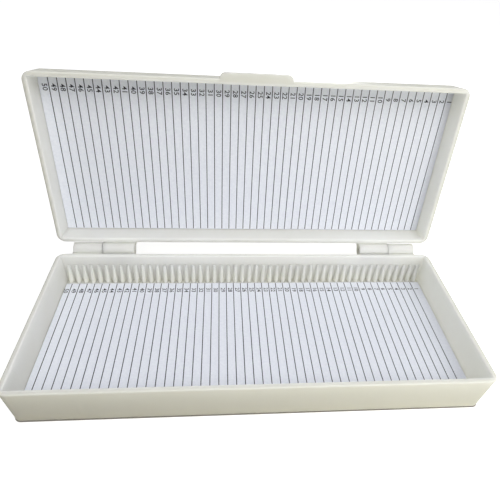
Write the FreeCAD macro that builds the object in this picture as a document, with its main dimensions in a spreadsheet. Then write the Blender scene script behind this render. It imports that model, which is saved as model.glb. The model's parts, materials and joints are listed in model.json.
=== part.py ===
import FreeCAD, Part
import math
import os
import Sketcher

# Hinged storage box for fifty microscope slides, modelled open, with its lid leaned back on the hinge stop.
# Frame: origin at the centre of the flat underside, +X along the box, +Y towards the hinges, +Z up.
# Millimetres throughout.

SIZES = {
    # the standard glass slide that the box is made round
    "slide_length": 76.0,
    "slide_height": 26.0,
    "slide_places": 50,
    # tray outside
    "tray_length": 202.0,
    "tray_width": 84.3,
    "tray_height": 20.8,
    "tray_draft": 1.4,
    "corner_radius": 4.2,
    "inner_corner": 0.5,
    "wall": 2.35,
    "inner_draft": 0.3,
    "floor_plate": 3.95,
    "rim_round": 0.6,
    "foot_round": 0.5,
    # slot ribs
    "rib_depth": 2.9,
    "rib_root": 2.2,
    "rib_tip": 1.6,
    "rib_crest": 1.0,
    "rib_headroom": 6.0,
    "rib_corner_gap": 0.75,
    # lid
    "lid_height": 13.2,
    "lid_draft": 1.1,
    "lid_plate": 2.0,
    "lid_round": 0.8,
    "closed_gap": 0.2,
    "open_angle": 97.0,
    "tab_length": 33.0,
    "tab_reach": 2.5,
    "tab_thickness": 1.9,
    "tab_corner": 2.4,
    # hinges
    "hinge_inset": 8.1,
    "tray_knuckle_length": 14.8,
    "lid_knuckle_length": 16.4,
    "barrel_radius": 3.3,
    "barrel_gap": 0.55,
    "knuckle_gap": 0.3,
    "web_flare": 1.4,
    "pin_radius": 1.0,
    "pin_inset": 0.4,
    "pin_chamfer": 0.2,
    "running_clearance": 0.05,
    "press_interference": 0.01,
    "stop_clearance": 0.1,
    "heel_drop": 0.3,
    # paper and tape; a square card clears a round corner by a gap over 0.293 of the corner's radius
    "card_thickness": 0.3,
    "card_gap_ratio": 0.3,
    "tape_thickness": 0.1,
    "tape_width": 12.0,
    "tape_length": 70.0,
    "tape_inset": 3.2,
}

doc = FreeCAD.newDocument("slide_box")
sheet = doc.addObject("Spreadsheet::Sheet", "sizes")
for row, (alias, value) in enumerate(SIZES.items(), start=1):
    sheet.set("A%d" % row, alias)
    sheet.set("B%d" % row, str(value))
    sheet.setAlias("B%d" % row, alias)
doc.recompute()


def size(alias):
    """The value of one named cell."""
    return float(sheet.get(alias))


def bind(feature, prop, formula):
    """Tie a property to the sheet: every bare word of the formula that is a cell's alias is read there."""
    words = formula.replace("(", " ( ").replace(")", " ) ").split()
    feature.setExpression(prop, " ".join("sizes." + w if w in SIZES else w for w in words))


def origin_plane(body, role):
    return next(f for f in body.Origin.OriginFeatures if f.Role == role)


def new_body(name):
    return doc.addObject("PartDesign::Body", name)


# Where an outline is first sketched, before its constraints size it.
SKETCH_START = (50.0, 30.0, 2.0)
LEVEL_TOLERANCE = 1e-4


def outline(body, name, height, length, width, radius, shift_y="0"):
    """A rectangle with equal round corners, drawn level at a height of the body."""
    sketch = body.newObject("Sketcher::SketchObject", name)
    sketch.AttachmentSupport = [(origin_plane(body, "XY_Plane"), "")]
    sketch.MapMode = "FlatFace"
    bind(sketch, "AttachmentOffset.Base.z", height)
    bind(sketch, "AttachmentOffset.Base.y", shift_y)
    half, top, r = SKETCH_START
    for start, end in (((-half + r, top), (half - r, top)), ((half, top - r), (half, -top + r)),
                       ((half - r, -top), (-half + r, -top)), ((-half, -top + r), (-half, top - r))):
        sketch.addGeometry(Part.LineSegment(FreeCAD.Vector(*start, 0), FreeCAD.Vector(*end, 0)))
    for x, y, angle in ((half - r, top - r, 0), (half - r, -top + r, 270),
                        (-half + r, -top + r, 180), (-half + r, top - r, 90)):
        circle = Part.Circle(FreeCAD.Vector(x, y, 0), FreeCAD.Vector(0, 0, 1), r)
        sketch.addGeometry(Part.ArcOfCircle(circle, math.radians(angle), math.radians(angle + 90)))
    # lines: 0 top, 1 right, 2 bottom, 3 left; arcs: 4 top right, 5 bottom right, 6 bottom left, 7 top left
    for line, line_end, arc, arc_end in ((0, 2, 4, 2), (1, 1, 4, 1), (1, 2, 5, 2), (2, 1, 5, 1),
                                         (2, 2, 6, 2), (3, 1, 6, 1), (3, 2, 7, 2), (0, 1, 7, 1)):
        sketch.addConstraint(Sketcher.Constraint("Tangent", line, line_end, arc, arc_end))
    for arc in (5, 6, 7):
        sketch.addConstraint(Sketcher.Constraint("Equal", 4, arc))
    sketch.addConstraint(Sketcher.Constraint("Symmetric", 0, 1, 0, 2, -2))
    sketch.addConstraint(Sketcher.Constraint("Symmetric", 1, 1, 1, 2, -1))
    sketch.addConstraint(Sketcher.Constraint("Horizontal", 2))
    sketch.addConstraint(Sketcher.Constraint("Vertical", 3))
    for label, formula, constraint in (
            ("corner", radius, ("Radius", 4, r)),
            ("half_length", "( %s ) / 2" % length, ("DistanceX", -1, 1, 1, 1, half)),
            ("half_width", "( %s ) / 2" % width, ("DistanceY", -1, 1, 0, 1, top))):
        sketch.renameConstraint(sketch.addConstraint(Sketcher.Constraint(*constraint)), label)
        bind(sketch, "Constraints." + label, formula)
    return sketch


def loft(body, kind, name, first, second):
    """A straight-sided loft from one outline to another."""
    feature = body.newObject("PartDesign::" + kind, name)
    feature.Profile = (first, [""])
    feature.Sections = [(second, [""])]
    feature.Ruled = True
    doc.recompute()
    return feature


def round_edges(body, name, base, radius, wanted):
    """Round each edge of the base feature that the test picks."""
    names = ["Edge%d" % (i + 1) for i, edge in enumerate(base.Shape.Edges) if wanted(edge)]
    feature = body.newObject("PartDesign::Fillet", name)
    feature.Base = (base, names)
    bind(feature, "Radius", radius)
    doc.recompute()
    return feature


def lies_at(height):
    """A test for edges that lie level at one height."""
    def wanted(edge):
        box = edge.BoundBox
        return abs(box.ZMin - height) < LEVEL_TOLERANCE and abs(box.ZMax - height) < LEVEL_TOLERANCE
    return wanted


def primitive(kind, name, place, turn=None, **sizes):
    """A Part primitive whose sizes and base point are formulas of the sheet."""
    feature = doc.addObject("Part::" + kind, name)
    if turn:
        feature.Placement = FreeCAD.Placement(FreeCAD.Vector(), turn)
    for prop, formula in sizes.items():
        bind(feature, prop, formula)
    for axis, formula in zip("xyz", place):
        bind(feature, "Placement.Base." + axis, formula)
    return feature


def combine(kind, name, members):
    """A boolean of several shapes: a fuse of all, or the first one cut by the second."""
    feature = doc.addObject("Part::" + kind, name)
    if kind == "Cut":
        feature.Base, feature.Tool = members
    else:
        feature.Shapes = members
    return feature


ALONG_X = FreeCAD.Rotation(FreeCAD.Vector(0, 1, 0), 90)
SIDES = {"left": "- 1", "right": "1"}


def along(side, near, far):
    """Where a stretch from near to far of the centre starts on the left or right, going towards +X."""
    return near if side == "right" else "0 - ( %s )" % far


def barrel(name, side, near, far, axis_y, axis_z, radius):
    """A round bar on the hinge axis."""
    return primitive("Cylinder", name, (along(side, near, far), axis_y, axis_z), ALONG_X,
                     Radius=radius, Height="( %s ) - ( %s )" % (far, near))


def web(name, side, near, far, near_flare, far_flare, root_y, axis_y, low, high):
    """The web between a wall and a knuckle, wider at the wall where it has no neighbour."""
    root_near, root_far = "( %s ) - %s" % (near, near_flare), "( %s ) + %s" % (far, far_flare)
    if side == "left":
        near, far = "0 - ( %s )" % far, "0 - ( %s )" % near
        root_near, root_far = "0 - ( %s )" % root_far, "0 - ( %s )" % root_near
    return primitive("Wedge", name, ("0", "0", "0"),
                     Xmin=root_near, Xmax=root_far, X2min=near, X2max=far,
                     Ymin=root_y, Ymax=axis_y, Zmin=low, Zmax=high, Z2min=low, Z2max=high)


# The hinge axis stands off the rear wall, so that each knuckle clears the other half's wall.
HINGE_OFFSET = "( barrel_radius + barrel_gap )"


def stop_heel(side, near, far):
    """The heel under a lid knuckle. Its flat face meets the tray's rear wall when the lid is open."""
    heel = primitive("Box", "stop_heel_" + side, (along(side, near, far),),
                     Length="( %s ) - ( %s )" % (far, near), Width=HINGE_OFFSET + " - stop_clearance",
                     Height="barrel_radius + heel_drop - " + WEB_TOP)
    doc.recompute()
    turn = FreeCAD.Rotation(FreeCAD.Vector(1, 0, 0), size("open_angle"))
    corner = turn.multVec(FreeCAD.Vector(0, -heel.Width.Value, -size("barrel_radius") - size("heel_drop")))
    heel.Placement = FreeCAD.Placement(FreeCAD.Vector(heel.Placement.Base.x, corner.y, corner.z), turn)
    return heel


# Shared places. The parting plane carries the hinge axis, so that the lid closes level.
AXIS_Y = "( tray_width / 2 + %s )" % HINGE_OFFSET
AXIS_Z = "( tray_height + closed_gap / 2 )"
HINGE_OUTER = "( tray_length / 2 - hinge_inset )"
HINGE_SPLIT = "( tray_length / 2 - hinge_inset - tray_knuckle_length )"
HINGE_INNER = "( tray_length / 2 - hinge_inset - tray_knuckle_length - lid_knuckle_length )"
TRAY_KNUCKLE = (HINGE_SPLIT + " + knuckle_gap / 2", HINGE_OUTER)
LID_KNUCKLE = (HINGE_INNER, HINGE_SPLIT + " - knuckle_gap / 2")
WEB_TOP = "( closed_gap / 2 + rim_round )"
INNER_LENGTH = "( tray_length - 2 * wall )"
INNER_WIDTH = "( tray_width - 2 * wall )"
FLOOR_LENGTH = "( tray_length - 2 * wall - 2 * inner_draft )"
FLOOR_WIDTH = "( tray_width - 2 * wall - 2 * inner_draft )"


# Tray moulding: drafted walls and a thick floor, with its knuckles at the outer end of each hinge.
tray = new_body("tray_moulding")
loft(tray, "AdditiveLoft", "tray_block",
     outline(tray, "tray_foot", "0", "tray_length - 2 * tray_draft", "tray_width - 2 * tray_draft",
             "corner_radius - tray_draft"),
     outline(tray, "tray_rim", "tray_height", "tray_length", "tray_width", "corner_radius"))
hollow = loft(tray, "SubtractiveLoft", "tray_hollow",
              outline(tray, "tray_floor", "floor_plate", FLOOR_LENGTH, FLOOR_WIDTH, "inner_corner"),
              outline(tray, "tray_mouth", "tray_height", INNER_LENGTH, INNER_WIDTH, "inner_corner"))
rim = round_edges(tray, "tray_rim_round", hollow, "rim_round", lies_at(size("tray_height")))
round_edges(tray, "tray_foot_round", rim, "foot_round", lies_at(0.0))

tray_members = [tray]
tray_bores = []
for side in SIDES:
    near, far = TRAY_KNUCKLE
    tray_members.append(barrel("tray_barrel_" + side, side, near, far, AXIS_Y, AXIS_Z, "barrel_radius"))
    tray_members.append(web("tray_web_" + side, side, near, far, "0", "web_flare",
                            "tray_width / 2 - wall / 2", AXIS_Y,
                            AXIS_Z + " - barrel_radius", AXIS_Z + " - " + WEB_TOP))
    tray_bores.append(barrel("tray_bore_" + side, side, near + " - knuckle_gap", far + " + knuckle_gap",
                             AXIS_Y, AXIS_Z, "pin_radius - press_interference"))
tray_shell = combine("Cut", "tray_cut", (combine("MultiFuse", "tray_fuse", tray_members),
                                         combine("MultiFuse", "tray_bores", tray_bores)))
tray_shell.Label = "tray_shell"

# Slot ribs: tapered fins that stand on the floor against the front and rear walls. A slide's ends drop
# between them. The end fins clear the round inner corners, and the others share out the length between.
doc.recompute()
wall_foot = size("tray_width") / 2 - size("wall") - size("inner_draft")
floor_end = size("tray_length") / 2 - size("wall") - size("inner_draft")
draft_rate = size("inner_draft") / (size("tray_height") - size("floor_plate"))
rib_foot_z = size("floor_plate")
rib_top_z = size("tray_height") - size("rib_headroom")
rib_tip_y = wall_foot - size("rib_depth")
rib_top_y = wall_foot + draft_rate * (rib_top_z - rib_foot_z)
end_rib_x = floor_end - size("inner_corner") - size("rib_corner_gap") - size("rib_root") / 2
rib_pitch = 2 * end_rib_x / size("slide_places")


def rib(x, facing):
    """One fin: a floor trapezoid that narrows and leans back to a short crest at the wall."""
    root, tip, crest = size("rib_root") / 2, size("rib_tip") / 2, size("rib_crest") / 2

    def point(dx, y, z):
        return FreeCAD.Vector(x + dx, facing * y, z)
    a, b = point(-root, wall_foot, rib_foot_z), point(root, wall_foot, rib_foot_z)
    c, d = point(tip, rib_tip_y, rib_foot_z), point(-tip, rib_tip_y, rib_foot_z)
    e, f = point(-crest, rib_top_y, rib_top_z), point(crest, rib_top_y, rib_top_z)
    faces = [Part.Face(Part.makePolygon(loop + [loop[0]]))
             for loop in ([a, b, c, d], [a, b, f, e], [d, c, f, e], [a, d, e], [b, c, f])]
    solid = Part.makeSolid(Part.makeShell(faces))
    if solid.Volume < 0:
        solid.reverse()
    return solid


rib_count = int(size("slide_places")) + 1
rib_places = [i * rib_pitch - end_rib_x for i in range(rib_count)]
rib_rows = []
for name, facing in (("rear_slot_ribs", 1), ("front_slot_ribs", -1)):
    row = doc.addObject("Part::Feature", name)
    row.Shape = Part.makeCompound([rib(x, facing) for x in rib_places])
    row.Placement = FreeCAD.Placement()
    rib_rows.append(row)

# Card on the tray floor, between the two rows of rib tips.
CARD_LENGTH = FLOOR_LENGTH + " - 2 * card_gap_ratio * inner_corner"
LID_CARD_WIDTH = FLOOR_WIDTH + " - 2 * card_gap_ratio * inner_corner"
TRAY_CARD_WIDTH = FLOOR_WIDTH + " - 2 * rib_depth - 2 * card_gap_ratio * inner_corner"
tray_card = primitive("Box", "tray_index_card",
                      ("0 - ( %s ) / 2" % CARD_LENGTH, "0 - ( %s ) / 2" % TRAY_CARD_WIDTH, "floor_plate"),
                      Length=CARD_LENGTH, Width=TRAY_CARD_WIDTH, Height="card_thickness")

# Lid moulding, drawn closed with the hinge axis as its own X axis, then turned open about it.
LID_MIDDLE = "0 - %s - tray_width / 2" % HINGE_OFFSET
LID_RIM = "closed_gap / 2"
lid = new_body("lid_moulding")
loft(lid, "AdditiveLoft", "lid_block",
     outline(lid, "lid_rim", LID_RIM, "tray_length", "tray_width", "corner_radius", LID_MIDDLE),
     outline(lid, "lid_top", "lid_height", "tray_length - 2 * lid_draft", "tray_width - 2 * lid_draft",
             "corner_radius - lid_draft", LID_MIDDLE))
hollow = loft(lid, "SubtractiveLoft", "lid_hollow",
              outline(lid, "lid_mouth", LID_RIM, INNER_LENGTH, INNER_WIDTH, "inner_corner", LID_MIDDLE),
              outline(lid, "lid_ceiling", "lid_height - lid_plate", FLOOR_LENGTH, FLOOR_WIDTH,
                      "inner_corner", LID_MIDDLE))
rim = round_edges(lid, "lid_rim_round", hollow, "rim_round", lies_at(size("closed_gap") / 2))
crown = round_edges(lid, "lid_top_round", rim, "lid_round", lies_at(size("lid_height")))
tab_outline = outline(lid, "tab_outline", LID_RIM, "tab_length", "wall + tab_reach", "tab_corner",
                      LID_MIDDLE + " - tray_width / 2 - ( tab_reach - wall ) / 2")
tab = lid.newObject("PartDesign::Pad", "thumb_tab")
tab.Profile = tab_outline
bind(tab, "Length", "tab_thickness")
doc.recompute()

lid_members = [lid]
lid_bores = []
for side in SIDES:
    near, far = LID_KNUCKLE
    lid_members.append(barrel("lid_barrel_" + side, side, near, far, "0", "0", "barrel_radius"))
    lid_members.append(web("lid_web_" + side, side, near, far, "web_flare", "0",
                           "0 - %s - wall / 2" % HINGE_OFFSET, "0", WEB_TOP, "barrel_radius"))
    lid_members.append(stop_heel(side, near, far))
    lid_bores.append(barrel("lid_bore_" + side, side, near + " - knuckle_gap", far + " + knuckle_gap",
                            "0", "0", "pin_radius + running_clearance"))
lid_shell = combine("Cut", "lid_cut", (combine("MultiFuse", "lid_fuse", lid_members),
                                       combine("MultiFuse", "lid_bores", lid_bores)))
lid_shell.Label = "lid_shell"
doc.recompute()

# Card in the lid, held to the plate by two strips of double-sided tape.
hinge_offset = size("barrel_radius") + size("barrel_gap")
hinge_y = size("tray_width") / 2 + hinge_offset
hinge_z = size("tray_height") + size("closed_gap") / 2
opened = FreeCAD.Placement(FreeCAD.Vector(0, hinge_y, hinge_z),
                           FreeCAD.Rotation(FreeCAD.Vector(1, 0, 0), -size("open_angle")))


def lid_box(name, centre_x, length, width, top, thickness):
    """A thin level box under the lid's ceiling, centred along the lid's width, in the opened lid."""
    box = doc.addObject("Part::Box", name)
    bind(box, "Length", length)
    bind(box, "Width", width)
    bind(box, "Height", thickness)
    doc.recompute()
    corner = FreeCAD.Vector(centre_x - box.Length.Value / 2,
                            -hinge_offset - size("tray_width") / 2 - box.Width.Value / 2,
                            top - box.Height.Value)
    box.Placement = opened.multiply(FreeCAD.Placement(corner, FreeCAD.Rotation()))
    return box


ceiling = size("lid_height") - size("lid_plate")
lid_card = lid_box("lid_index_card", 0.0, CARD_LENGTH, LID_CARD_WIDTH,
                   ceiling - size("tape_thickness"), "card_thickness")
strip_x = lid_card.Length.Value / 2 - size("tape_inset") - size("tape_length") / 2
strips = [lid_box("tape_strip_" + side, sign * strip_x, "tape_length", "tape_width",
                  ceiling, "tape_thickness") for side, sign in (("left", -1), ("right", 1))]
lid_tape = doc.addObject("Part::Compound", "lid_card_tape")
lid_tape.Links = strips
lid_shell.Placement = opened

# Hinge pins: pressed in the tray's knuckles, with a running fit in the lid's.
pins = []
for side in SIDES:
    bar = barrel("pin_bar_" + side, side, HINGE_INNER + " + pin_inset", HINGE_OUTER + " - pin_inset",
                 AXIS_Y, AXIS_Z, "pin_radius")
    doc.recompute()
    pin = doc.addObject("Part::Chamfer", "hinge_pin_" + side)
    pin.Base = bar
    ends = [i + 1 for i, edge in enumerate(bar.Shape.Edges) if edge.isClosed()]
    pin.Edges = [(i, size("pin_chamfer"), size("pin_chamfer")) for i in ends]
    pins.append(pin)
doc.recompute()

PARTS = [tray_shell, *rib_rows, tray_card, lid_shell, lid_card, lid_tape, *pins]
for feature in doc.Objects:
    if "Invalid" in feature.State or "Error" in feature.State:
        raise RuntimeError("%s did not compute: %s" % (feature.Name, feature.State))
os.makedirs("parts", exist_ok=True)
for part in PARTS:
    if part.Shape.isNull() or not part.Shape.isValid():
        raise RuntimeError("%s has no valid shape" % part.Label)
    part.Shape.exportStep("parts/%s.step" % part.Label)
    box = part.Shape.BoundBox
    print("%-18s solids %3d  volume %9.1f  x %.1f..%.1f  y %.1f..%.1f  z %.1f..%.1f" % (
        part.Label, len(part.Shape.Solids), part.Shape.Volume,
        box.XMin, box.XMax, box.YMin, box.YMax, box.ZMin, box.ZMax))

inner_height = (size("tray_height") - size("floor_plate") - size("card_thickness") + size("closed_gap")
                + ceiling - size("tape_thickness") - size("card_thickness") - size("closed_gap") / 2)
print("room for a %.0f mm slide: height %.2f of %.0f, walls %.2f apart, rib tips %.2f apart, slot %.2f" % (
    size("slide_length"), inner_height, size("slide_height"), 2 * wall_foot, 2 * rib_tip_y,
    rib_pitch - size("rib_root")))
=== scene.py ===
# %% [markdown]
# # A hinged storage box for fifty microscope slides
# The box is two milky plastic mouldings on two pinned hinges, with a numbered card in each half. The
# imported model already holds every size, place and joint, so this lesson only adds what the eye wants:
# rounded fins, printed cards, finishes, light and a camera. We load the frame first.

# %% Load the frame
import json
import math

import bpy
from mathutils import Matrix, Quaternion, Vector


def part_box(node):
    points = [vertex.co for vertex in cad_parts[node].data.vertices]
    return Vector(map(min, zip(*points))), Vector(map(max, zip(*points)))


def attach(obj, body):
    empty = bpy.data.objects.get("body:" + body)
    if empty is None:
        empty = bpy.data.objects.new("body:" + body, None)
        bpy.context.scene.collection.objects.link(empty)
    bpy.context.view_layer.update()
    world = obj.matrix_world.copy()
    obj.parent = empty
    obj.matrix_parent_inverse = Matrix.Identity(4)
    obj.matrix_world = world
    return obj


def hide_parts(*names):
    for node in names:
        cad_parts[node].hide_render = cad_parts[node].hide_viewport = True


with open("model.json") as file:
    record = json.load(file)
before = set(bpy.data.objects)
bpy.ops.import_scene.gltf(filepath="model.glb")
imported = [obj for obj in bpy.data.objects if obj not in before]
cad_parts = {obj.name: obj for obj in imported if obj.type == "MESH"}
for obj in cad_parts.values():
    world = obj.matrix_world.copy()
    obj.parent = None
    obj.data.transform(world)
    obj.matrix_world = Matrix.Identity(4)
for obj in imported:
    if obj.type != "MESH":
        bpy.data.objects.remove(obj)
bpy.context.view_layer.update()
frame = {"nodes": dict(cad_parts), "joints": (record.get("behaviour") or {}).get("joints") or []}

MM = 0.001
hinge = frame["joints"][0]
HINGE_AXIS = Vector(hinge["pos_m"])
OPEN_ANGLE = math.radians(hinge["range_deg"][1])
print("nodes", sorted(frame["nodes"]))
print("hinge axis at", tuple(HINGE_AXIS), "open by", math.degrees(OPEN_ANGLE), "degrees")

# %% [markdown]
# ## Camera
# A camera is placed by where it stands and where it looks. Here it stands a little left of the middle,
# in front of the box and above it, and looks down into the tray. The turn is measured from +Y towards
# +X, the tilt is down from the horizon, and the roll is the small lean of a hand-held camera. The lens is
# a moderate wide angle, which is what makes the near edge of the tray look longer than the far one.

# %% Camera
CAMERA_AT = Vector((-16.6, -140.3, 170.4)) * MM
CAMERA_TURN = math.radians(7.149)
CAMERA_TILT = math.radians(39.175)
CAMERA_ROLL = math.radians(4.672)
LENS_LENGTH = 31.196
SENSOR_WIDTH = 36.0
LENS_SHIFT = (-0.0225, 0.0079)
NEAREST_SEEN = 10 * MM

camera_data = bpy.data.cameras.new("camera")
camera_data.lens = LENS_LENGTH
camera_data.sensor_width = SENSOR_WIDTH
camera_data.shift_x, camera_data.shift_y = LENS_SHIFT
camera_data.clip_start = NEAREST_SEEN
camera = bpy.data.objects.new("camera", camera_data)
bpy.context.scene.collection.objects.link(camera)
look = Vector((math.sin(CAMERA_TURN) * math.cos(CAMERA_TILT),
               math.cos(CAMERA_TURN) * math.cos(CAMERA_TILT), -math.sin(CAMERA_TILT)))
camera.rotation_mode = "QUATERNION"
camera.rotation_quaternion = Quaternion(look, -CAMERA_ROLL) @ look.to_track_quat("-Z", "Y")
camera.location = CAMERA_AT
bpy.context.scene.camera = camera
print("camera looks along", [round(x, 3) for x in look])

# %% [markdown]
# ## Floor and light
# The box stands on a plain pale floor under soft light. A wide lamp hangs high in front and a wider one
# overhead, and two weak lamps on the right, one of them low and near, make the front wall brighten
# towards its right end. A lamp behind shows the back. The white world opens the shadows, as a light tent
# does in a studio, and is brighter to the camera than to the box so that the backdrop stays white.

# %% Floor and light
FLOOR_SIZE = 8.0
BOX_MIDDLE = Vector((0, 0, 30)) * MM
NEARLY_WHITE = (1.0, 0.99, 0.98)
WARM_WHITE = (1.0, 0.985, 0.955)
SKY_WHITE = (0.97, 0.985, 1.0)
COOL_WHITE = (0.99, 0.99, 1.0)
TENT_LIGHT = 0.4


def deselect():
    """Nothing selected and nothing active, so that the next operator works on what we pick."""
    bpy.ops.object.select_all(action="DESELECT")
    bpy.context.view_layer.objects.active = None


def soft_lamp(name, at, size, power, colour):
    """A square area lamp that faces the middle of the box."""
    lamp_data = bpy.data.lights.new(name, "AREA")
    lamp_data.size = size
    lamp_data.energy = power
    lamp_data.color = colour
    lamp = bpy.data.objects.new(name, lamp_data)
    lamp.location = at
    lamp.rotation_mode = "QUATERNION"
    lamp.rotation_quaternion = (BOX_MIDDLE - lamp.location).to_track_quat("-Z", "Y")
    bpy.context.scene.collection.objects.link(lamp)


deselect()
bpy.ops.mesh.primitive_plane_add(size=FLOOR_SIZE, location=(0, 0, 0))
floor = bpy.context.object
floor.name = "studio_floor"
soft_lamp("low_lamp", at=(0.20, -0.28, 0.06), size=0.10, power=0.29, colour=NEARLY_WHITE)
soft_lamp("right_lamp", at=(0.36, -0.12, 0.42), size=0.32, power=0.44, colour=NEARLY_WHITE)
soft_lamp("high_lamp", at=(0.05, -0.40, 0.70), size=0.60, power=2.6, colour=WARM_WHITE)
soft_lamp("top_lamp", at=(0.20, -0.10, 1.00), size=1.2, power=1.25, colour=SKY_WHITE)
soft_lamp("back_lamp", at=(0.15, 0.65, 0.07), size=0.12, power=0.7, colour=COOL_WHITE)

world = bpy.data.worlds.new("light_tent")
world.use_nodes = True
tent = world.node_tree.nodes["Background"]
tent.inputs["Color"].default_value = (*COOL_WHITE, 1.0)
tent_seen = world.node_tree.nodes.new("ShaderNodeLightPath")
tent_strength = world.node_tree.nodes.new("ShaderNodeMapRange")
tent_strength.inputs["To Min"].default_value = TENT_LIGHT
world.node_tree.links.new(tent_seen.outputs["Is Camera Ray"], tent_strength.inputs["Value"])
world.node_tree.links.new(tent_strength.outputs["Result"], tent.inputs["Strength"])
bpy.context.scene.world = world
bpy.context.scene.view_settings.view_transform = "Standard"

# %% [markdown]
# ## Shared effects as node groups
# Several finishes need the same small effects, so each effect is a node group, built once and placed in a
# material with its own values. `cloudiness` gives a slow, uneven value, as in milky plastic that cooled
# unevenly or card that took up damp. `fine_grain` gives the small surface texture. The edge mask compares
# a rounded normal with the true one and is white only where a corner turns, where it places a painted
# highlight.

# %% Node group helpers


def new_group(name, inputs, outputs):
    """An empty shader group with named number inputs and outputs, and its two end nodes."""
    group = bpy.data.node_groups.new(name, "ShaderNodeTree")
    for label, value in inputs.items():
        socket = group.interface.new_socket(label, in_out="INPUT", socket_type="NodeSocketFloat")
        socket.default_value = value
    for label in outputs:
        group.interface.new_socket(label, in_out="OUTPUT", socket_type="NodeSocketFloat")
    return group, group.nodes.new("NodeGroupInput"), group.nodes.new("NodeGroupOutput")


def object_point(tree):
    """The Object coordinates, which stay with the piece when it moves."""
    return tree.nodes.new("ShaderNodeTexCoord").outputs["Object"]


def noise(tree, vector, scale, detail=3.0, roughness=0.55):
    """A noise texture; scale may be a number or a socket, in features per metre."""
    node = tree.nodes.new("ShaderNodeTexNoise")
    node.inputs["Detail"].default_value = detail
    node.inputs["Roughness"].default_value = roughness
    tree.links.new(vector, node.inputs["Vector"])
    if isinstance(scale, (int, float)):
        node.inputs["Scale"].default_value = scale
    else:
        tree.links.new(scale, node.inputs["Scale"])
    return node.outputs["Fac"]


def spread(tree, value, low, high, out_low=0.0, out_high=1.0):
    """Maps low..high to out_low..out_high, clamped."""
    node = tree.nodes.new("ShaderNodeMapRange")
    node.inputs["From Min"].default_value = low
    node.inputs["From Max"].default_value = high
    node.inputs["To Min"].default_value = out_low
    node.inputs["To Max"].default_value = out_high
    tree.links.new(value, node.inputs["Value"])
    return node.outputs["Result"]


def maths(tree, kind, first, second):
    """A maths node of two values, each a number or a socket."""
    node = tree.nodes.new("ShaderNodeMath")
    node.operation = kind
    for slot, value in zip(node.inputs, (first, second)):
        if isinstance(value, (int, float)):
            slot.default_value = value
        else:
            tree.links.new(value, slot)
    return node.outputs[0]


print("helpers for groups and their nodes are ready")

# %% Node groups
EDGE_REACH = 0.6 * MM
EDGE_SAMPLES = 4

cloudiness, group_in, group_out = new_group("cloudiness", {"Scale": 30.0, "Low": 0.35, "High": 0.65}, ["Value"])
cloud = noise(cloudiness, object_point(cloudiness), group_in.outputs["Scale"], detail=4.0)
ramp = cloudiness.nodes.new("ShaderNodeMapRange")
cloudiness.links.new(cloud, ramp.inputs["Value"])
cloudiness.links.new(group_in.outputs["Low"], ramp.inputs["From Min"])
cloudiness.links.new(group_in.outputs["High"], ramp.inputs["From Max"])
cloudiness.links.new(ramp.outputs["Result"], group_out.inputs["Value"])

fine_grain, group_in, group_out = new_group("fine_grain", {"Scale": 2500.0, "Depth": 1.0}, ["Height"])
grain = noise(fine_grain, object_point(fine_grain), group_in.outputs["Scale"], detail=2.0)
grain_height = maths(fine_grain, "MULTIPLY", grain, group_in.outputs["Depth"])
fine_grain.links.new(grain_height, group_out.inputs["Height"])

# The edge mask places a painted highlight: the plastic turns paler where a corner turns.
edge_highlight_mask, group_in, group_out = new_group("edge_highlight_mask", {"Sharpness": 4.0}, ["Mask"])
bevel = edge_highlight_mask.nodes.new("ShaderNodeBevel")
bevel.samples = EDGE_SAMPLES
bevel.inputs["Radius"].default_value = EDGE_REACH
geometry = edge_highlight_mask.nodes.new("ShaderNodeNewGeometry")
compare = edge_highlight_mask.nodes.new("ShaderNodeVectorMath")
compare.operation = "DOT_PRODUCT"
edge_highlight_mask.links.new(bevel.outputs["Normal"], compare.inputs[0])
edge_highlight_mask.links.new(geometry.outputs["True Normal"], compare.inputs[1])
turned = maths(edge_highlight_mask, "SUBTRACT", 1.0, compare.outputs["Value"])
sharpened = maths(edge_highlight_mask, "MULTIPLY", turned, group_in.outputs["Sharpness"])
edge_highlight_mask.links.new(maths(edge_highlight_mask, "MINIMUM", sharpened, 1.0), group_out.inputs["Mask"])
print("groups", [g.name for g in bpy.data.node_groups])

# %% [markdown]
# ## Helpers for materials
# Every finish is built from the same few moves: place a group, blend two colours by a mask, add a bump, and
# give the result to a piece. A helper for each move keeps the materials short enough to read.

# %% Material helpers


def use_group(tree, group, **values):
    """A group placed in a material with its own values."""
    node = tree.nodes.new("ShaderNodeGroup")
    node.node_tree = group
    for label, value in values.items():
        node.inputs[label].default_value = value
    return node.outputs[0]


def blend_colours(tree, amount, first, second):
    """first where amount is 0 and second where it is 1; each is a colour or a socket."""
    node = tree.nodes.new("ShaderNodeMix")
    node.data_type = "RGBA"
    sockets = {s.name: s for s in node.inputs if s.type == "RGBA"}
    for name, colour in (("A", first), ("B", second)):
        if isinstance(colour, tuple):
            sockets[name].default_value = (*colour, 1.0)
        else:
            tree.links.new(colour, sockets[name])
    factor = next(s for s in node.inputs if s.name == "Factor" and s.type == "VALUE")
    tree.links.new(amount, factor)
    return next(s for s in node.outputs if s.type == "RGBA")


def new_material(name):
    """A material with a Principled shader, and its node tree."""
    material = bpy.data.materials.new(name)
    material.use_nodes = True
    return material, material.node_tree, material.node_tree.nodes["Principled BSDF"]


def add_bump(tree, shader, height, distance, strength=1.0):
    """A Bump node from a height to the shader's normal; distance is in metres."""
    node = tree.nodes.new("ShaderNodeBump")
    node.inputs["Strength"].default_value = strength
    node.inputs["Distance"].default_value = distance
    tree.links.new(height, node.inputs["Height"])
    tree.links.new(node.outputs["Normal"], shader.inputs["Normal"])


def dress(piece, material):
    """Give a piece one material, in its slots if it has any."""
    if not piece.material_slots:
        piece.data.materials.append(material)
    for slot in piece.material_slots:
        slot.material = material


print("helpers for materials are ready")
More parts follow.
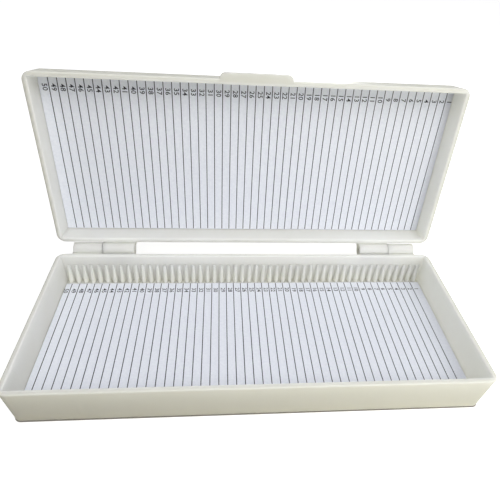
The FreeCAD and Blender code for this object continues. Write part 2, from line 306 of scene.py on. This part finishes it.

# %% [markdown]
# ## Milky plastic
# The mouldings are white polypropylene, which lets some light in, so we use the Principled shader with
# subsurface scattering. The colour isn't one flat white: it is cloudy, with a warm painted shade that grows
# towards one height in each moulding (towards the floor in the tray and on its fins), a painted shade on
# the outer front and end faces, and a painted highlight along the edges. These follow distances measured
# across the moulding, and a Mapping node turns the lid's coordinates back to its closed position so that
# the same rules serve both mouldings.

# %% Milky plastic
PLASTIC_WHITE = (0.83, 0.845, 0.805)
PLASTIC_CLOUD = (0.79, 0.795, 0.745)
# The next three colours are painted light: a warm painted shade, a painted edge highlight and a painted shade
# outside.
PLASTIC_WARM_SHADE = (0.70, 0.67, 0.52)
PLASTIC_EDGE_HIGHLIGHT = (0.85, 0.86, 0.845)
PLASTIC_OUTER_SHADE = (0.63, 0.63, 0.565)
PLASTIC_ROUGH = (0.42, 0.56)
PLASTIC_BENDING = 1.49
CLOUDS_PER_METRE = 24.0
SHEENS_PER_METRE = 90.0
GRAINS_PER_METRE = 1800.0
GRAIN_DEPTH = 0.02 * MM
INSIDE_WARMTH = 0.4
OUTER_SHADE_AMOUNT = 0.7
EDGE_HIGHLIGHT_AMOUNT = 0.15
EDGE_SHARPNESS = 3.0
SCATTER_COLOUR = (1.0, 1.0, 0.95)
WALL_SCATTER = 6.0 * MM
FIN_SCATTER = 1.5 * MM
LONGER_THAN_WIDE = 58.85 * MM
SKIN_INSIDE = 39.9 * MM
SKIN_OUTSIDE = 41.2 * MM


def outer_skin(tree, split, middle_y):
    """A mask that is 0 on the inner faces and 1 on the outer front and end faces of a moulding."""
    end = maths(tree, "SUBTRACT", maths(tree, "ABSOLUTE", split.outputs["X"], 0.0), LONGER_THAN_WIDE)
    front = maths(tree, "SUBTRACT", middle_y, split.outputs["Y"])
    return spread(tree, maths(tree, "MAXIMUM", end, front), SKIN_INSIDE, SKIN_OUTSIDE)


def milky_plastic(name, scatter, warmth, warm_at, clear_at, centre=(0, 0, 0), turn=0.0, middle_y=0.0):
    """Milky polypropylene with a warm painted shade where the turned height is warm_at, gone where it is
    clear_at.
    """
    material, tree, shader = new_material(name)
    mapping = tree.nodes.new("ShaderNodeMapping")
    mapping.vector_type = "TEXTURE"
    mapping.inputs["Location"].default_value = centre
    mapping.inputs["Rotation"].default_value = (turn, 0, 0)
    tree.links.new(object_point(tree), mapping.inputs["Vector"])
    split = tree.nodes.new("ShaderNodeSeparateXYZ")
    tree.links.new(mapping.outputs["Vector"], split.inputs["Vector"])
    skin = outer_skin(tree, split, middle_y)
    # The warm colour is a painted shade: full at warm_at, gone at clear_at, and weaker on the inner faces.
    warm = spread(tree, split.outputs["Z"], clear_at, warm_at)
    warm = maths(tree, "MULTIPLY", warm, spread(tree, skin, 0.0, 1.0, INSIDE_WARMTH * warmth, warmth))
    clouds = use_group(tree, cloudiness, Scale=CLOUDS_PER_METRE)
    cloudy = blend_colours(tree, clouds, PLASTIC_WHITE, PLASTIC_CLOUD)
    warm_shaded = blend_colours(tree, warm, cloudy, PLASTIC_WARM_SHADE)
    # A painted shade darkens the outer front and end faces.
    outer_shaded = blend_colours(tree, maths(tree, "MULTIPLY", skin, OUTER_SHADE_AMOUNT), warm_shaded, PLASTIC_OUTER_SHADE)
    # A painted highlight makes the plastic paler where a corner turns.
    edge = maths(tree, "MULTIPLY", use_group(tree, edge_highlight_mask, Sharpness=EDGE_SHARPNESS), EDGE_HIGHLIGHT_AMOUNT)
    tree.links.new(blend_colours(tree, edge, outer_shaded, PLASTIC_EDGE_HIGHLIGHT), shader.inputs["Base Color"])
    rough = spread(tree, use_group(tree, cloudiness, Scale=SHEENS_PER_METRE), 0.0, 1.0, *PLASTIC_ROUGH)
    tree.links.new(rough, shader.inputs["Roughness"])
    add_bump(tree, shader, use_group(tree, fine_grain, Scale=GRAINS_PER_METRE), GRAIN_DEPTH, strength=0.5)
    shader.inputs["Subsurface Weight"].default_value = 1.0
    shader.inputs["Subsurface Radius"].default_value = SCATTER_COLOUR
    shader.inputs["Subsurface Scale"].default_value = scatter
    shader.inputs["IOR"].default_value = PLASTIC_BENDING
    return material


tray_plastic = milky_plastic("tray_milky_plastic", WALL_SCATTER, warmth=0.85, warm_at=0.0, clear_at=18 * MM)
fin_plastic = milky_plastic("fin_milky_plastic", FIN_SCATTER, warmth=0.7, warm_at=2 * MM, clear_at=14 * MM)
lid_plastic = milky_plastic("lid_milky_plastic", WALL_SCATTER, warmth=0.25, warm_at=13.5 * MM, clear_at=4 * MM,
                            centre=HINGE_AXIS, turn=-OPEN_ANGLE, middle_y=-HINGE_AXIS.y)

dress(frame["nodes"]["tray_shell"], tray_plastic)
dress(frame["nodes"]["lid_shell"], lid_plastic)
print("plastic on tray_shell and lid_shell")

# %% [markdown]
# ## Helpers for modelling
# An operator acts on all that is selected, so every step first picks its own pieces and nothing else. What
# repeats is made once and copied, each copy with its own mesh, and a finished piece keeps its place in its
# mesh, with its object unturned at the origin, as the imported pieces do.

# %% Modelling helpers


def pick(*pieces):
    """Select only these pieces, the first of them active."""
    deselect()
    for piece in pieces:
        piece.select_set(True)
    bpy.context.view_layer.objects.active = pieces[0]


def finish_piece(piece):
    """Put the piece's place into its mesh, so that its object sits unturned at the origin."""
    pick(piece)
    bpy.ops.object.transform_apply(location=True, rotation=True, scale=True)


def copy_to(piece, at):
    """A copy of a piece with its own mesh, at a place."""
    copy = piece.copy()
    copy.data = piece.data.copy()
    copy.location = at
    bpy.context.scene.collection.objects.link(copy)
    return copy


def join_as(name, parts):
    """Join several pieces into one."""
    pick(*parts)
    bpy.ops.object.join()
    joined = bpy.context.object
    joined.name = name
    finish_piece(joined)
    return joined


def edit_vertices(piece, wanted):
    """Enter edit mode with only the wanted vertices selected."""
    pick(piece)
    bpy.ops.object.mode_set(mode="EDIT")
    bpy.ops.mesh.select_mode(type="VERT")
    bpy.ops.mesh.select_all(action="DESELECT")
    bpy.ops.object.mode_set(mode="OBJECT")
    for vertex in piece.data.vertices:
        vertex.select = wanted(vertex.co)
    bpy.ops.object.mode_set(mode="EDIT")


print("helpers for modelling are ready")

# %% [markdown]
# ## Slot fins
# A real fin is deep and round-nosed at the floor and grows shallow as it rises, so that its top fades into
# the wall. It could be cut from a block, but a round nose is easier from a round start. So we start one fin
# from a cylinder, squeeze it to an ellipse, taper it by resizing its top, and bisect away what lies deep in
# the wall.

# %% One fin
FIN_WIDTH = 2.75 * MM
FIN_TOP_WIDTH = 2.0 * MM
FIN_TOP_DEPTH = 0.3 * MM
FIN_SINK = 0.1 * MM
FIN_FACETS = 20
RIB_ROOT = 2.2 * MM
RIB_WALL_LEAN = 0.2 * MM
SMOOTH_BELOW = math.radians(50)
SLOT_PLACES = 50


def model_fin(depth, height):
    """One fin at the origin: its back in the wall at +Y, its nose towards -Y, its foot on the floor."""
    deselect()
    bpy.ops.mesh.primitive_cylinder_add(vertices=FIN_FACETS, radius=0.5, depth=1.0,
                                        location=(0, 0, height / 2), scale=(FIN_WIDTH, 2 * depth, height))
    fin = bpy.context.object
    finish_piece(fin)
    edit_vertices(fin, lambda place: place.z > height / 2)
    bpy.ops.transform.resize(value=(FIN_TOP_WIDTH / FIN_WIDTH, FIN_TOP_DEPTH / depth, 1),
                             center_override=(0, 0, height))
    bpy.ops.mesh.select_all(action="SELECT")
    bpy.ops.mesh.bisect(plane_co=(0, FIN_SINK, 0), plane_no=(0, 1, 0), use_fill=True, clear_outer=True)
    bpy.ops.object.mode_set(mode="OBJECT")
    return fin


print("fin width in mm, at its foot and top", round(FIN_WIDTH / MM, 2), round(FIN_TOP_WIDTH / MM, 2))

# %% [markdown]
# ## Fin rows
# Fifty slots need fifty-one fins on each long side. The one fin is copied along each row, turned round for
# the front wall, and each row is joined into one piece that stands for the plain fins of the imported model.

# %% Fin rows


def fin_row(name, node, facing):
    """A row of fins on one long wall, facing the middle of the tray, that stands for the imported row."""
    low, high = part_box(node)
    depth = high.y - low.y - RIB_WALL_LEAN
    fin = model_fin(depth, high.z - low.z)
    first = low.x + RIB_ROOT / 2
    pitch = (high.x - low.x - RIB_ROOT) / SLOT_PLACES
    wall_y = high.y - RIB_WALL_LEAN if facing < 0 else low.y + RIB_WALL_LEAN
    fin.rotation_euler.z = 0.0 if facing < 0 else math.pi
    fins = [copy_to(fin, (first + place * pitch, wall_y, low.z)) for place in range(SLOT_PLACES + 1)]
    bpy.data.objects.remove(fin)
    row = join_as(name, fins)
    bpy.ops.object.shade_smooth_by_angle(angle=SMOOTH_BELOW)
    dress(row, fin_plastic)
    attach(row, "tray")
    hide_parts(node)
    print(name, len(row.data.polygons), "faces, pitch", round(pitch / MM, 3), "mm")


fin_row("rear_fin_row", "rear_slot_ribs", -1)
fin_row("front_fin_row", "front_slot_ribs", 1)

# %% [markdown]
# ## Paper and ink
# The cards are plain uncoated card from a laser printer. Short fibres give the paper an uneven white and a
# dry face, so one group breaks up its colour and its sheen, and another its surface. The ink is dark but
# lets fibres show through in places, and is a little shinier than the paper.

# %% Paper and ink
PAPER_WHITE = (0.84, 0.865, 0.94)
PAPER_SHADE = (0.77, 0.795, 0.88)
INK_DARK = (0.018, 0.019, 0.03)
INK_THIN = (0.055, 0.057, 0.08)
FIBRES_PER_METRE = 900.0
FUZZ_PER_METRE = 3000.0
PATCHES_PER_METRE = 1400.0


def card_paper():
    """Uncoated card with short fibres and a faint blue white."""
    material, tree, shader = new_material("card_paper")
    fibres = use_group(tree, cloudiness, Scale=FIBRES_PER_METRE, Low=0.3, High=0.7)
    tree.links.new(blend_colours(tree, fibres, PAPER_WHITE, PAPER_SHADE), shader.inputs["Base Color"])
    tree.links.new(spread(tree, fibres, 0.0, 1.0, 0.72, 0.88), shader.inputs["Roughness"])
    add_bump(tree, shader, use_group(tree, fine_grain, Scale=FUZZ_PER_METRE), GRAIN_DEPTH, strength=0.6)
    return material


def printing_ink():
    """Laser printing: dark, a little uneven where the paper's fibres show through."""
    material, tree, shader = new_material("printing_ink")
    patchy = use_group(tree, cloudiness, Scale=PATCHES_PER_METRE, Low=0.4, High=0.7)
    tree.links.new(blend_colours(tree, patchy, INK_DARK, INK_THIN), shader.inputs["Base Color"])
    tree.links.new(spread(tree, patchy, 0.0, 1.0, 0.45, 0.7), shader.inputs["Roughness"])
    return material


paper = card_paper()
ink = printing_ink()
print("card materials", paper.name, ink.name)

# %% [markdown]
# ## A sheet that waves
# Paper is never quite flat. A card could be bent by hand, but a slow cloud pattern moves the card and all
# that is printed on it alike, so that the ink stays on the paper. Each sheet starts as a flat grid, is moved
# by the pattern, and only then gets its thickness.

# %% Card helpers
WAVE_HEIGHT = 0.5 * MM
WAVE_LENGTH = 60 * MM
WAVE_LEVEL = 0.35

paper_wave = bpy.data.textures.new("paper_wave", "CLOUDS")
paper_wave.noise_scale = WAVE_LENGTH
paper_wave.noise_depth = 1


def apply_modifiers(piece):
    """Apply all of a piece's modifiers in order."""
    pick(piece)
    for modifier in list(piece.modifiers):
        bpy.ops.object.modifier_apply(modifier=modifier.name)


def lay_on_wave(piece):
    """Move a flat piece up by the slow wave that the whole card has."""
    modifier = piece.modifiers.new("wave", "DISPLACE")
    modifier.texture = paper_wave
    modifier.texture_coords = "LOCAL"
    modifier.direction = "Z"
    modifier.mid_level = WAVE_LEVEL
    modifier.strength = WAVE_HEIGHT
    apply_modifiers(piece)


def thicken(piece, thickness, offset):
    """Give a sheet its thickness: offset -1 grows it below its face and 1 above."""
    modifier = piece.modifiers.new("thickness", "SOLIDIFY")
    modifier.thickness = thickness
    modifier.offset = offset
    apply_modifiers(piece)


def sheet_grid(name, length, width, steps_x, steps_y, at):
    """A flat grid of a given size, with its centre at a point."""
    deselect()
    bpy.ops.mesh.primitive_grid_add(x_subdivisions=steps_x, y_subdivisions=steps_y, size=1.0, location=at)
    grid = bpy.context.object
    grid.name = name
    grid.scale = (length, width, 1.0)
    finish_piece(grid)
    return grid


print("cards wave by", WAVE_HEIGHT / MM, "mm over about", WAVE_LENGTH / MM, "mm")

# %% [markdown]
# ## Rules and numbers
# Thin rules part the fifty places, and the numbers 50 to 1 stand along one edge, turned so that they read
# downwards. They could be a pattern in the paper's material, but ink as geometry stays crisp close up, where
# a pattern would blur. One rule is made and copied, and each number starts as a text and becomes a mesh.

# %% Rules and numbers
RULE_WIDTH = 0.4 * MM
RULE_STEPS = 14
NUMBER_SIZE = 3.3 * MM
NUMBER_WEIGHT = 0.035 * MM
NUMBER_CURVE_STEPS = 2


def rules(name, width, pitch, shift):
    """The rules between the fifty places."""
    first_x = (1 - SLOT_PLACES / 2) * pitch + shift
    first = sheet_grid(name, RULE_WIDTH, width, 1, RULE_STEPS, (first_x, 0, 0))
    copies = [copy_to(first, (place * pitch, 0, 0)) for place in range(1, SLOT_PLACES - 1)]
    return join_as(name, [first, *copies])


def numbers(name, pitch, shift, row_y):
    """The numbers 50 to 1 from left to right, reading downwards."""
    parts = []
    for place in range(SLOT_PLACES):
        deselect()
        bpy.ops.object.text_add(location=((place + 0.5 - SLOT_PLACES / 2) * pitch + shift, row_y, 0),
                                rotation=(0, 0, -math.pi / 2))
        label = bpy.context.object
        label.data.body = str(SLOT_PLACES - place)
        label.data.size = NUMBER_SIZE
        label.data.offset = NUMBER_WEIGHT
        label.data.align_x = "CENTER"
        label.data.align_y = "CENTER"
        label.data.resolution_u = NUMBER_CURVE_STEPS
        bpy.ops.object.convert(target="MESH")
        parts.append(bpy.context.object)
    return join_as(name, parts)


print("rules are", round(RULE_WIDTH / MM, 2), "mm wide and numbers", round(NUMBER_SIZE / MM, 2), "mm high")

# %% [markdown]
# ## Index cards
# Each half holds the same printed card, and the lid's card leans with the open lid. So a card is made flat
# at the origin with its rules and numbers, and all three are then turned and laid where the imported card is.

# %% Index cards
CARD_THICKNESS = 0.3 * MM
CARD_STEPS = (96, 36)
RULE_SHORTER = 0.6 * MM
INK_HEIGHT = 0.03 * MM


def card_width(low, high, turn):
    """The flat width of a card that leans by turn about X, from its box."""
    rise, depth = high.z - low.z, high.y - low.y
    if rise > depth:
        return (rise - CARD_THICKNESS * abs(math.cos(turn))) / math.sin(turn)
    return depth


def index_card(half, node, turn, shift, number_inset):
    """A printed card in one half of the box, made flat, waved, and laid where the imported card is."""
    low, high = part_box(node)
    middle = (low + high) / 2
    length = high.x - low.x
    width = card_width(low, high, turn)
    card = sheet_grid(half + "_card_sheet", length, width, *CARD_STEPS, (0, 0, 0))
    pitch = length / SLOT_PLACES
    lines = rules(half + "_card_rules", width - RULE_SHORTER, pitch, shift)
    labels = numbers(half + "_card_numbers", pitch, shift, width / 2 - number_inset)
    for piece in (card, lines, labels):
        lay_on_wave(piece)
    thicken(card, CARD_THICKNESS, -1)
    thicken(lines, INK_HEIGHT, 1)
    thicken(labels, INK_HEIGHT, 1)
    for piece in (card, lines, labels):
        piece.rotation_euler.x = turn
        piece.location = middle + Matrix.Rotation(turn, 3, "X") @ Vector((0, 0, CARD_THICKNESS / 2))
        finish_piece(piece)
        dress(piece, paper if piece is card else ink)
        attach(piece, half)
    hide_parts(node)
    size = (round(length / MM, 1), round(width / MM, 1))
    print(half, "card", size, "mm, pitch", round(pitch / MM, 2), "mm")


index_card("tray", "tray_index_card", turn=0.0, shift=-0.94 * MM, number_inset=5.6 * MM)
index_card("lid", "lid_index_card", turn=math.pi - OPEN_ANGLE, shift=0.52 * MM, number_inset=5.8 * MM)

# %% [markdown]
# ## Steel pins and tape
# The pins are drawn wire pressed into the knuckles. Drawn wire keeps faint lines along its length, so the
# grain is stretched along X. The tape behind the lid's card barely shows, but it still gets a finish of
# its own: a warm film, with darker patches as a painted shade of slight wrinkles that its surface doesn't have.

# %% Steel and tape
STEEL_BRIGHT = (0.62, 0.62, 0.63)
STEEL_LINE = (0.45, 0.45, 0.46)
LINE_STRETCH = 0.05
LINES_PER_METRE = 9000.0
LINE_DEPTH = 0.01 * MM
TAPE_PALE = (0.78, 0.76, 0.68)
TAPE_FOLD_SHADE = (0.68, 0.65, 0.56)
WRINKLES_PER_METRE = 300.0


def drawn_steel():
    """Bright wire with fine lines along X."""
    material, tree, shader = new_material("drawn_steel")
    mapping = tree.nodes.new("ShaderNodeMapping")
    mapping.inputs["Scale"].default_value = (LINE_STRETCH, 1.0, 1.0)
    tree.links.new(object_point(tree), mapping.inputs["Vector"])
    lines = noise(tree, mapping.outputs["Vector"], LINES_PER_METRE, detail=2.0)
    tree.links.new(blend_colours(tree, lines, STEEL_BRIGHT, STEEL_LINE), shader.inputs["Base Color"])
    tree.links.new(spread(tree, lines, 0.3, 0.7, 0.22, 0.42), shader.inputs["Roughness"])
    shader.inputs["Metallic"].default_value = 1.0
    add_bump(tree, shader, lines, LINE_DEPTH, strength=0.5)
    return material


def tape_film():
    """Cloth-backed double-sided tape, warm and dull, with darker patches as a painted shade of wrinkles."""
    material, tree, shader = new_material("tape_film")
    wrinkle_shade = use_group(tree, cloudiness, Scale=WRINKLES_PER_METRE, Low=0.3, High=0.7)
    # The darker fold colour is a painted shade of wrinkles.
    tree.links.new(blend_colours(tree, wrinkle_shade, TAPE_PALE, TAPE_FOLD_SHADE), shader.inputs["Base Color"])
    tree.links.new(spread(tree, wrinkle_shade, 0.0, 1.0, 0.5, 0.7), shader.inputs["Roughness"])
    return material


steel = drawn_steel()
tape = tape_film()
dress(frame["nodes"]["hinge_pin_left"], steel)
dress(frame["nodes"]["hinge_pin_right"], steel)
dress(frame["nodes"]["lid_card_tape"], tape)
print("steel on the pins, tape behind the lid card")

# %% [markdown]
# ## Studio floor
# The floor should read as plain white paper, yet a box on a wooden bench is lit warmly from below, and
# less so on its left, where the bench's colour turns dark brown as a painted shade for the box's left side.
# The Light Path node lets one material do both: the camera sees pale paper with a little glow, and all other
# rays meet the bench's warm tones. A box on a flat floor always has a thin contact shadow round its foot,
# which the glow would wash out, so a painted shadow darkens the paper within the last millimetre before the
# foot. That distance is to a rectangle with round corners.

# %% Studio floor
FLOOR_GLOW = 0.6
FLOOR_ROUGH = 0.8
BENCH_LEFT_SHADE = (0.20, 0.165, 0.09)
BENCH_RIGHT = (0.82, 0.80, 0.63)
BENCH_SPAN = (-0.15, 0.2)
PAPER_SWEEP = (0.9, 0.9, 0.9)
CONTACT_DARK = (0.10, 0.08, 0.06)
FOOT_HALF = Vector((99.6, 40.75, 0)) * MM
FOOT_CORNER = 2.8 * MM
CONTACT_REACH = 0.7 * MM


def foot_distance(tree, point):
    """How far a point of the floor is from the foot of the tray, negative under it; height is left out."""
    inset = FOOT_HALF - Vector((FOOT_CORNER, FOOT_CORNER, -1))
    for kind, second in (("ABSOLUTE", None), ("SUBTRACT", inset), ("MAXIMUM", (0, 0, 0)), ("LENGTH", None)):
        node = tree.nodes.new("ShaderNodeVectorMath")
        node.operation = kind
        tree.links.new(point, node.inputs[0])
        if second is not None:
            node.inputs[1].default_value = second
        point = node.outputs["Value" if kind == "LENGTH" else "Vector"]
    return maths(tree, "SUBTRACT", point, FOOT_CORNER)


def studio_floor_paper():
    """White paper to the camera, a warm bench to the box that darkens on the left as a painted shade, and a
    painted contact shadow at the foot.
    """
    material, tree, shader = new_material("studio_white")
    seen = tree.nodes.new("ShaderNodeLightPath").outputs["Is Camera Ray"]
    point = object_point(tree)
    split = tree.nodes.new("ShaderNodeSeparateXYZ")
    tree.links.new(point, split.inputs["Vector"])
    # To the box, the bench turns dark brown towards the left, a painted shade for the box's left side.
    bench = blend_colours(tree, spread(tree, split.outputs["X"], *BENCH_SPAN), BENCH_LEFT_SHADE, BENCH_RIGHT)
    contact = spread(tree, foot_distance(tree, point), CONTACT_REACH, 0.0)
    sweep = blend_colours(tree, contact, PAPER_SWEEP, CONTACT_DARK)
    tree.links.new(blend_colours(tree, seen, bench, sweep), shader.inputs["Base Color"])
    clear = maths(tree, "SUBTRACT", 1.0, contact)
    glow = maths(tree, "MULTIPLY", maths(tree, "MULTIPLY", seen, clear), FLOOR_GLOW)
    tree.links.new(glow, shader.inputs["Emission Strength"])
    shader.inputs["Emission Color"].default_value = (1.0, 1.0, 1.0, 1.0)
    shader.inputs["Roughness"].default_value = FLOOR_ROUGH
    return material


dress(floor, studio_floor_paper())
print("materials", sorted(m.name for m in bpy.data.materials))
